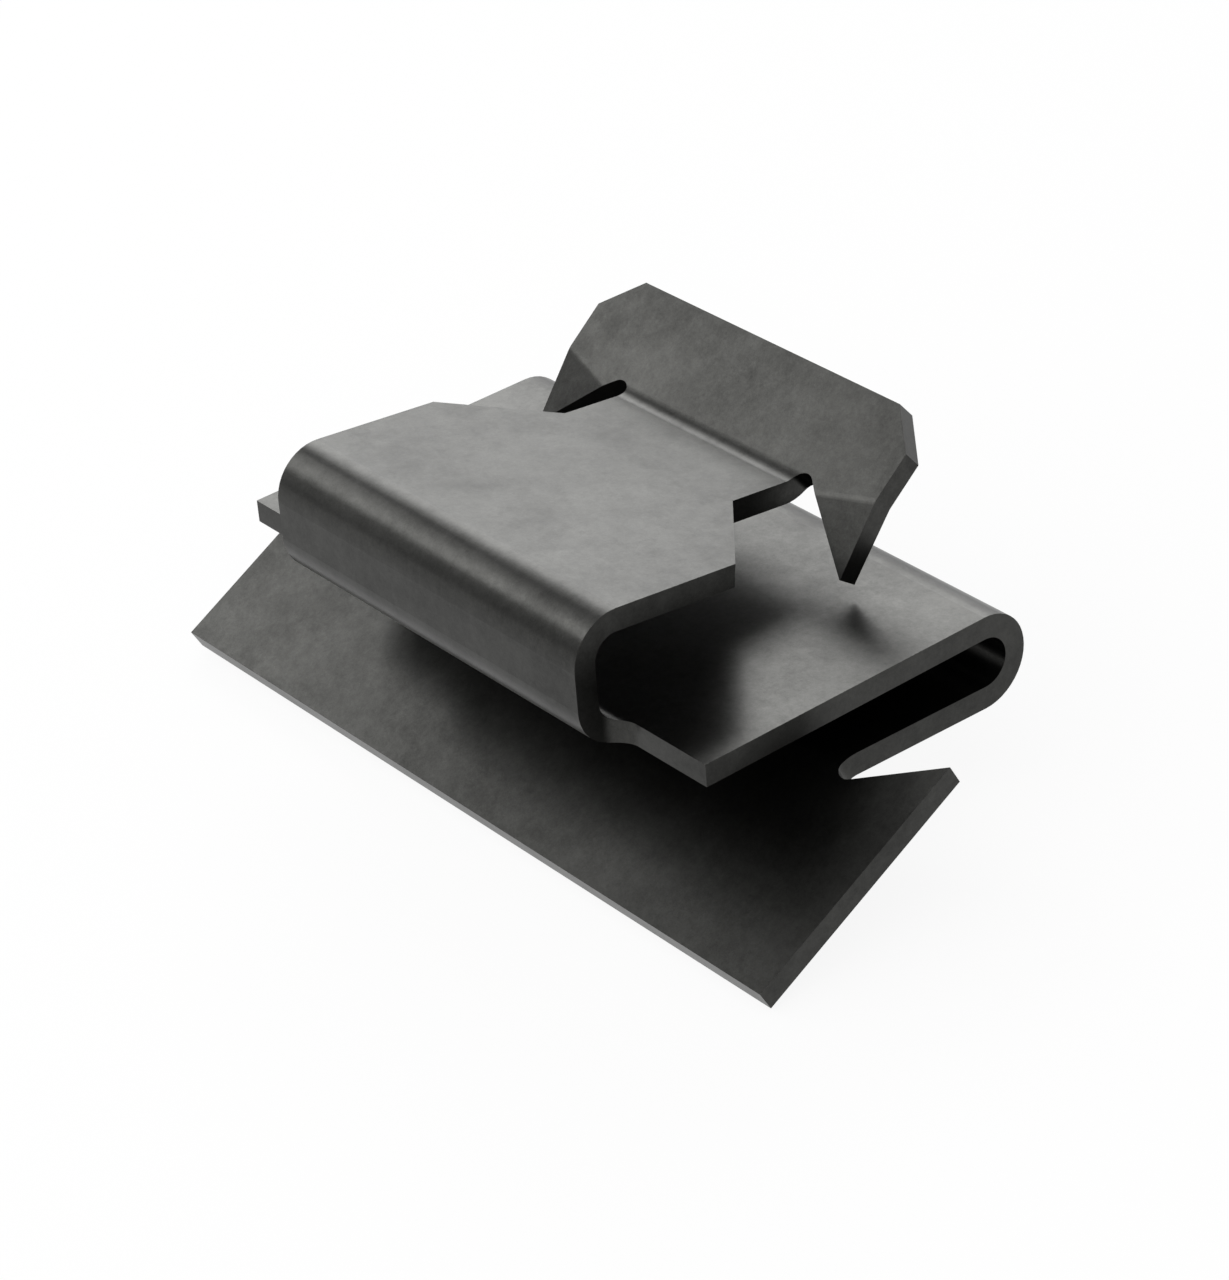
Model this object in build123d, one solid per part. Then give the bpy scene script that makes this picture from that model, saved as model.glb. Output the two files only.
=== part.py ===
from build123d import *
import os
from math import cos, radians, sin

# A spring-steel panel clip, punched and folded from one piece of sheet, in millimetres.
# The sheet runs as an S: lower lip, lower leaf, U bend, middle plate, front wall, upper leaf, upper lip.
# The origin is the middle of the lower slot's mouth. +X runs into that slot, towards the U bend,
# +Y runs across the sheet and +Z is up, square to the middle plate.

# The sheet, and what the press tools leave in it
sheet = 0.70
bend_radius = 0.70  # inside radius of every bend but the U bend and the barbs' creases
relief_radius = 0.35  # round at the blind end of each relief slot

# The middle plate and the U bend that closes the lower slot
strip_width = 20.0
middle_length = 11.5  # from the front edge to the back of the U bend
lower_gap = 1.52  # height of the lower slot

# The lower leaf and its lip, which slopes down and forwards and carries two flat barbs
lower_leaf_length = 4.82
lower_leaf_closing = 1.4  # degrees that the leaf leans in towards the middle plate
lower_lip_angle = 28.5  # degrees below level
lower_lip_length = 6.35
lower_lip_width = 25.9
lower_barb_reach = 1.57  # from the lip's bend back to the barbs' points
lower_relief_reach = 0.16  # from the lip's bend forward to the front of the relief round

# The neck and the front wall, narrower than the middle plate
neck_width = 13.2
neck_fillet = 0.65  # seen from above, where the neck meets the middle plate's front edge
neck_flat = 0.02  # from that edge to the start of the neck's bend
wall_height = 1.20  # between the neck's bend and the bend above it

# The upper leaf, which narrows to a tongue between the relief slots
upper_leaf_length = 8.55
upper_leaf_droop = 6.3  # degrees that the leaf slopes down towards its lip
shoulder_length = 4.12  # full width as far as this
taper_end = 6.60  # as wide as the tongue from here on
tongue_width = 7.30

# The upper lip, which slopes up and backwards and carries two bent barbs
upper_lip_angle = 39.4  # degrees above level
upper_lip_length = 2.91
upper_lip_width = 13.2
lip_chamfer = 1.18
upper_barb_reach = 2.19  # from the lip's bend back to the barbs' points
upper_relief_reach = 0.02  # from the lip's bend forward to the front of the relief round
crease_height = 0.29  # from the lip's bend up to the crease, on the side of the lip
crease_skew = 15.2  # degrees between the crease and the lip's bend
crease_angle = 15.0  # degrees that the barb turns
crease_radius = 0.10  # inside radius, on the back of the lip
crease_steps = 4
barb_tip = 0.02  # width of the flat that is left on a barb's point

# The largest outside radius of a plain bend, and so the longest that one can be
bend_reach = bend_radius + sheet


# Each piece of sheet is made in its own frame: X along the sheet, Y across it, and Z out of its
# face, with the metal below that face. A frame is placed by the location where the last one ended.
def turned(angle, inside=bend_radius):
    """Where the sheet goes on after a bend of some degrees, towards +Z if they are positive."""
    centre = Pos(0, 0, inside) if angle > 0 else Pos(0, 0, -sheet - inside)
    return centre * Rot(0, -angle, 0) * centre.inverse()


def bend(angle, width, inside=bend_radius):
    """The bent sheet from the frame's own place to turned(angle, inside)."""
    height = inside if angle > 0 else -sheet - inside
    section = Plane.YZ * Pos(0, -sheet / 2) * Rectangle(width, sheet)
    return revolve(section, Axis((0, 0, height), (0, -1, 0)), angle)


def thicken(sketch):
    """Flat sheet under a sketch in the frame's XY plane."""
    return extrude(sketch, amount=sheet, dir=(0, 0, -1))


def both_sides(half):
    """A shape made on the +Y side, with its mirror image on the -Y side."""
    return half + mirror(half, Plane.XZ)


def strip(length, width):
    """A plain flat stretch that starts at the frame's own place."""
    return thicken(Pos(length / 2, 0) * Rectangle(length, width))


def relief_circle(leaf_width, reach):
    """The round at the blind end of the relief slot, which runs along the leaf's edge."""
    centre = (reach - relief_radius, leaf_width / 2 + relief_radius)
    return CenterArc(centre, relief_radius, 0, 360)


def relieved_bend(angle, leaf_width, reach):
    """A lip's bend, as wide as its leaf, which spreads round the relief circles at its far end."""
    circle = relief_circle(leaf_width, reach)
    centre = circle.arc_center
    beside_leaf = Polyline(
        (-bend_reach, leaf_width / 2),
        (centre.X, leaf_width / 2),
        centre,
        (-bend_reach, centre.Y),
        close=True,
    )
    slot = extrude(make_face(circle) + make_face(beside_leaf), amount=bend_reach, both=True)
    return bend(angle, 2 * centre.Y) - turned(angle) * both_sides(slot)


def inner_barb_edge(circle, point):
    """The line from the relief circle's lip side, which it touches, to the barb's point."""
    return ConstrainedLines(circle, point).edges().sort_by(Axis.X)[-1]


def lip_sketch(corners, root, circle):
    """A lip with its barbs: corners go from the middle of its free edge round to the barb's root."""
    outline = [(0, 0), *corners, *root, circle.arc_center, (0, circle.arc_center.Y)]
    return make_face(Polyline(*outline, close=True)) - make_face(circle)


def lower_lip():
    circle = relief_circle(strip_width, lower_relief_reach)
    point = (-lower_barb_reach, lower_lip_width / 2)
    barb_edge = inner_barb_edge(circle, point)
    corners = [(lower_lip_length, 0), (lower_lip_length, lower_lip_width / 2), point]
    return thicken(both_sides(lip_sketch(corners, [barb_edge @ 0], circle)))


def bent_barb(root, point):
    """A barb that turns up at the frame's Y axis: its root's length there, and its point in the flat.

    Its far face is longer round the crease, so its edges run in further there than the near face's.
    """

    def edges_at(along):
        share = along / point.X
        return point.Y * share, root + (point.Y - root) * share

    def section(angle):
        outer, inner = edges_at(crease_radius * radians(angle))
        far_outer, far_inner = edges_at((crease_radius + sheet) * radians(angle))
        corners = [(outer, 0), (inner, 0), (far_inner, -sheet), (far_outer, -sheet)]
        return turned(angle, crease_radius) * make_face(Plane.YZ * Polyline(*corners, close=True))

    crease = loft([section(crease_angle * step / crease_steps) for step in range(crease_steps + 1)])
    blade_length = point.X - (crease_radius + sheet) * radians(crease_angle)
    tip = Plane.YZ * Pos(point.Y + barb_tip / 2, -sheet / 2) * Rectangle(barb_tip, sheet)
    tip = turned(crease_angle, crease_radius) * Pos(blade_length, 0, 0) * tip
    return crease + loft([section(crease_angle), tip], ruled=True)


def upper_lip():
    circle = relief_circle(tongue_width, upper_relief_reach)
    side = upper_lip_width / 2
    point = Vector(-upper_barb_reach, side)
    barb_edge = inner_barb_edge(circle, point)
    skew = radians(crease_skew)
    crease = IntersectingLine((crease_height, side), (-sin(skew), -cos(skew)), barb_edge)
    corners = [
        (upper_lip_length, 0),
        (upper_lip_length, side - lip_chamfer),
        (upper_lip_length - lip_chamfer, side),
    ]
    root = [crease @ 0, crease @ 1, barb_edge @ 0]
    crease_frame = Pos(crease @ 0) * Rot(0, 0, 180 - crease_skew)
    point_from_crease = (crease_frame.inverse() * Pos(point)).position
    barb = crease_frame * bent_barb(crease.length, point_from_crease)
    return thicken(both_sides(lip_sketch(corners, root, circle))) + both_sides(barb)


def upper_leaf():
    half_outline = Polyline(
        (0, 0),
        (0, neck_width / 2),
        (shoulder_length, neck_width / 2),
        (taper_end, tongue_width / 2),
        (upper_leaf_length, tongue_width / 2),
        (upper_leaf_length, 0),
        close=True,
    )
    return thicken(both_sides(make_face(half_outline)))


def middle_plate(length):
    """The middle plate, behind the frame, and the neck's bend, with fillets cut square to the plate."""
    folded = Pos(-length, 0, 0) * strip(length + neck_flat, strip_width)
    folded += Pos(neck_flat, 0, 0) * bend(90, strip_width)
    plan = Pos(-length, 0) * Rectangle(2 * length, 2 * strip_width)
    plan += Rectangle(3 * bend_reach, neck_width)
    plan = fillet(plan.vertices().sort_by_distance((0, 0, 0))[:2], neck_fillet)
    return folded & extrude(plan, amount=2 * bend_reach, both=True)


# The lower half, from the middle plate's flat back through the U bend to the lower lip
plate_top = lower_gap / 2 + sheet
u_bend_angle = 180 + lower_leaf_closing
u_bend_start = Pos(middle_length - lower_gap / 2 - sheet, 0, plate_top)
lower_leaf_start = u_bend_start * turned(-u_bend_angle, lower_gap / 2)
lower_bend_start = lower_leaf_start * Pos(lower_leaf_length, 0, 0)
lower_bend_angle = lower_lip_angle + lower_leaf_closing
lower_half = [
    u_bend_start * bend(-u_bend_angle, strip_width, lower_gap / 2),
    lower_leaf_start * strip(lower_leaf_length, strip_width),
    lower_bend_start * relieved_bend(lower_bend_angle, strip_width, lower_relief_reach),
    lower_bend_start * turned(lower_bend_angle) * lower_lip(),
]

# The upper half, from the middle plate through the front wall to the upper lip
front_edge = Pos(0, 0, plate_top) * Rot(0, 0, 180)
wall_start = front_edge * Pos(neck_flat, 0, 0) * turned(90)
top_bend_start = wall_start * Pos(wall_height, 0, 0)
top_bend_angle = 90 + upper_leaf_droop
upper_leaf_start = top_bend_start * turned(top_bend_angle)
upper_bend_start = upper_leaf_start * Pos(upper_leaf_length, 0, 0)
upper_bend_angle = upper_lip_angle + upper_leaf_droop
upper_half = [
    front_edge * middle_plate(u_bend_start.position.X),
    wall_start * strip(wall_height, neck_width),
    top_bend_start * bend(top_bend_angle, neck_width),
    upper_leaf_start * upper_leaf(),
    upper_bend_start * relieved_bend(-upper_bend_angle, tongue_width, upper_relief_reach),
    upper_bend_start * turned(-upper_bend_angle) * upper_lip(),
]

panel_clip = Part() + lower_half + upper_half

os.makedirs("parts", exist_ok=True)
export_step(panel_clip, "parts/panel_clip.step")
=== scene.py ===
from math import pi, radians, tan

import bpy
from mathutils import Euler, Matrix, Vector


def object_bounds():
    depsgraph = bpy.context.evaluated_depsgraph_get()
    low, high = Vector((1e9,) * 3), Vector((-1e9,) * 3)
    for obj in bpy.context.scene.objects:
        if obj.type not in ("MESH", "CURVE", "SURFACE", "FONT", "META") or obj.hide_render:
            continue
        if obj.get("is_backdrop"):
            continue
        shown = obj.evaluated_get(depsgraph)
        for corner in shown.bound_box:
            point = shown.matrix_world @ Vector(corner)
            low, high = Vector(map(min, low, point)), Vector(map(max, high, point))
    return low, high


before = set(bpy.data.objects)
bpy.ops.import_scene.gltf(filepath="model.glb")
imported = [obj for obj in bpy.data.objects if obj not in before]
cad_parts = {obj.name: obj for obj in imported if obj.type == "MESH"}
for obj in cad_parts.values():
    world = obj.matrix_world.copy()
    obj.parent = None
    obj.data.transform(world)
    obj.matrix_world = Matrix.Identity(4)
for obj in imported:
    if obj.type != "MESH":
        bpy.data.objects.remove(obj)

# A folded spring-steel panel clip on white. Everything is in metres, in the row frame:
# +X into the lower slot, +Y across the sheet, +Z up.
MM = 0.001
MICRON = 0.001 * MM


def shown_box():
    """The shown object's lowest and highest corner, as plain lists of numbers."""
    bpy.context.view_layer.update()
    return [list(corner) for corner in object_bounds()]


cad_box = shown_box()


# Camera, at the place and angle of the photograph's. The lens is in millimetres, for a frame that is
# 36 mm high.
CAMERA_PLACE = Vector((-57.425, -81.881, 62.160)) * MM
CAMERA_RIGHT = Vector((0.766020, -0.638915, -0.070721))
CAMERA_UP = Vector((0.383050, 0.365350, 0.848410))
CAMERA_BACK = Vector((-0.516227, -0.676991, 0.524588))
CAMERA_LENS = 119.40
NEAREST_SEEN = 5 * MM
FARTHEST_SEEN = 5.0


def add_camera():
    data = bpy.data.cameras.new("camera")
    data.lens = CAMERA_LENS
    data.clip_start = NEAREST_SEEN
    data.clip_end = FARTHEST_SEEN
    camera = bpy.data.objects.new("camera", data)
    turn = Matrix((CAMERA_RIGHT, CAMERA_UP, CAMERA_BACK)).transposed()
    camera.matrix_world = Matrix.Translation(CAMERA_PLACE) @ turn.to_4x4()
    bpy.context.collection.objects.link(camera)
    bpy.context.scene.camera = camera


# Short ways to build a node tree
def new_material(name):
    material = bpy.data.materials.new(name)
    material.use_nodes = True
    material.node_tree.nodes.clear()
    return material, material.node_tree


def node(tree, kind, inputs=None, **settings):
    """A new node. Its inputs are sockets to link from, or plain values."""
    made = tree.nodes.new(kind)
    for name, value in settings.items():
        setattr(made, name, value)
    for name, value in (inputs or {}).items():
        if isinstance(value, bpy.types.NodeSocket):
            tree.links.new(value, made.inputs[name])
        else:
            made.inputs[name].default_value = value
    return made


def spread(tree, value, low, high, to_low, to_high):
    """The value from low to high, stretched to another range and held inside it."""
    inputs = {"Value": value, "From Min": low, "From Max": high, "To Min": to_low, "To Max": to_high}
    return node(tree, "ShaderNodeMapRange", inputs, clamp=True).outputs["Result"]


def maths(tree, operation, first, second):
    return node(tree, "ShaderNodeMath", {0: first, 1: second}, operation=operation).outputs["Value"]


# Dark phosphated spring steel, with a cloudy tone, darker speckled smudges and a slight waviness.
# Each of the three is a layer of noise with lumps of a few millimetres and ever finer ones on them,
# down to some hundredths of one.
STEEL_TONE = (0.031, 0.075)
STEEL_BLUE = 0.95  # of the red and green
STEEL_ROUGHNESS = (0.28, 0.32)
SMUDGE_SHADE = 0.8  # of the tone, in the middle of a smudge
WAVE_HEIGHT = 15 * MICRON
LUMP_SIZE = 4.0 * MM
OCTAVES = 8.0

# Where each layer lies in the noise's fourth dimension, far enough apart to have nothing in common
CLOUD_LAYER = 0.0
SMUDGE_LAYER = 10.0
WAVE_LAYER = 20.0

# The strength of each octave of a layer, as a share of the one before
CLOUD_FINENESS = 1.0
SMUDGE_FINENESS = 0.85
WAVE_FINENESS = 0.65

# The stretches of the noise from 0 to 1 over which the tone, its shade in the smudges and the
# roughness change
TONE_STRETCH = (0.3, 0.7)
SHADE_STRETCH = (0.5, 0.62)
ROUGHNESS_STRETCH = (0.4, 0.6)


def noise(tree, place, layer, fineness):
    """Cloudy noise from 0 to 1 at a place on the steel."""
    inputs = {
        "Vector": place,
        "W": layer,
        "Scale": 1 / LUMP_SIZE,
        "Detail": OCTAVES,
        "Roughness": fineness,
    }
    return node(tree, "ShaderNodeTexNoise", inputs, noise_dimensions="4D").outputs["Fac"]


def steel_material():
    material, tree = new_material("phosphated_steel")
    place = node(tree, "ShaderNodeTexCoord").outputs["Object"]
    clouds = noise(tree, place, CLOUD_LAYER, CLOUD_FINENESS)
    smudges = noise(tree, place, SMUDGE_LAYER, SMUDGE_FINENESS)
    waves = noise(tree, place, WAVE_LAYER, WAVE_FINENESS)
    tone = spread(tree, clouds, *TONE_STRETCH, *STEEL_TONE)
    smudged = maths(tree, "MULTIPLY", tone, spread(tree, smudges, *SHADE_STRETCH, 1.0, SMUDGE_SHADE))
    blue = maths(tree, "MULTIPLY", smudged, STEEL_BLUE)
    colour = node(tree, "ShaderNodeCombineColor", {"Red": smudged, "Green": smudged, "Blue": blue})
    bump = node(tree, "ShaderNodeBump", {"Height": waves, "Distance": WAVE_HEIGHT})
    shader = node(tree, "ShaderNodeBsdfPrincipled", {
        "Base Color": colour.outputs["Color"],
        "Metallic": 1.0,
        "Roughness": spread(tree, smudges, *ROUGHNESS_STRETCH, *STEEL_ROUGHNESS),
        "Normal": bump.outputs["Normal"],
    })
    node(tree, "ShaderNodeOutputMaterial", {"Surface": shader.outputs["BSDF"]})
    return material


def dress_clip():
    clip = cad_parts["panel_clip"]
    steel = steel_material()
    for slot in clip.material_slots:
        slot.material = steel


# Floor, sky and lamps, where a brightness of 1 is white
WHITE = (1.0, 1.0, 1.0, 1.0)
FLOOR_HEIGHT = -4.6 * MM
FLOOR_REACH = 2.0  # from its middle to each side
FLOOR_TONE = 0.85  # of its diffuse white
FLOOR_GLOW = 0.9  # how much of a glow it has where it is looked at, and the rest is diffuse
FLOOR_MIRRORED = 0.82  # brightness of the glow in the steel
SKY_BRIGHTNESS = 0.34  # for all but the camera, which sees it white
LAMP_DISTANCE = 0.5

# Name, azimuth from +X towards +Y, elevation, roll, width and height as the clip sees them, all in
# degrees, and brightness
SOFTBOXES = (
    ("rear_softbox", 52, 30.5, 2, 39, 19, 4.7),
    ("left_softbox", 111, 36, -6, 39, 11, 4.2),
    ("front_fill", 195, 41, 18, 84, 78, 1.6),
    ("rear_glow", 78, 13, 0, 96, 18, 1.3),
)


def white_to_camera(tree, path, otherwise):
    """A brightness of 1 where the camera itself looks, and another one everywhere else."""
    return spread(tree, path["Is Camera Ray"], 0.0, 1.0, otherwise, 1.0)


def floor_material():
    """A glowing white where the camera looks or the steel mirrors it, and else a diffuse white.

    A part of it is diffuse there too, and keeps the clip's shadow.
    """
    material, tree = new_material("floor_white")
    path = node(tree, "ShaderNodeLightPath").outputs
    looked_at = maths(tree, "MAXIMUM", path["Is Camera Ray"], path["Is Glossy Ray"])
    diffuse = node(tree, "ShaderNodeBsdfDiffuse", {"Color": (FLOOR_TONE, FLOOR_TONE, FLOOR_TONE, 1.0)})
    glow = node(tree, "ShaderNodeEmission", {
        "Color": WHITE,
        "Strength": white_to_camera(tree, path, FLOOR_MIRRORED),
    })
    mixed = node(tree, "ShaderNodeMixShader", {
        "Fac": maths(tree, "MULTIPLY", looked_at, FLOOR_GLOW),
        1: diffuse.outputs["BSDF"],
        2: glow.outputs["Emission"],
    })
    node(tree, "ShaderNodeOutputMaterial", {"Surface": mixed.outputs["Shader"]})
    return material


def add_floor():
    mesh = bpy.data.meshes.new("floor")
    corners = [
        (-FLOOR_REACH, -FLOOR_REACH, 0),
        (FLOOR_REACH, -FLOOR_REACH, 0),
        (FLOOR_REACH, FLOOR_REACH, 0),
        (-FLOOR_REACH, FLOOR_REACH, 0),
    ]
    mesh.from_pydata(corners, [], [(0, 1, 2, 3)])
    mesh.materials.append(floor_material())
    floor = bpy.data.objects.new("floor", mesh)
    floor.location.z = FLOOR_HEIGHT
    bpy.context.collection.objects.link(floor)
    floor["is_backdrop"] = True


def add_world():
    world = bpy.data.worlds.new("studio")
    world.use_nodes = True
    tree = world.node_tree
    tree.nodes.clear()
    path = node(tree, "ShaderNodeLightPath").outputs
    background = node(tree, "ShaderNodeBackground", {
        "Color": WHITE,
        "Strength": white_to_camera(tree, path, SKY_BRIGHTNESS),
    })
    node(tree, "ShaderNodeOutputWorld", {"Surface": background.outputs["Background"]})
    bpy.context.scene.world = world


def add_softbox(name, azimuth, elevation, roll, width, height, brightness):
    """A rectangular lamp that faces the clip."""
    data = bpy.data.lights.new(name, "AREA")
    data.shape = "RECTANGLE"
    data.size = 2 * LAMP_DISTANCE * tan(radians(width / 2))
    data.size_y = 2 * LAMP_DISTANCE * tan(radians(height / 2))
    data.energy = pi * data.size * data.size_y * brightness
    lamp = bpy.data.objects.new(name, data)
    aim = Euler((radians(90 - elevation), 0, radians(90 + azimuth))).to_matrix().to_4x4()
    away = Matrix.Translation((0, 0, LAMP_DISTANCE))
    lamp.matrix_world = aim @ away @ Matrix.Rotation(radians(roll), 4, "Z")
    bpy.context.collection.objects.link(lamp)


add_camera()
dress_clip()
add_floor()
add_world()
for softbox in SOFTBOXES:
    add_softbox(*softbox)

bpy.context.scene.view_settings.view_transform = "Standard"

boxes = {"cad": cad_box, "visual": shown_box()}
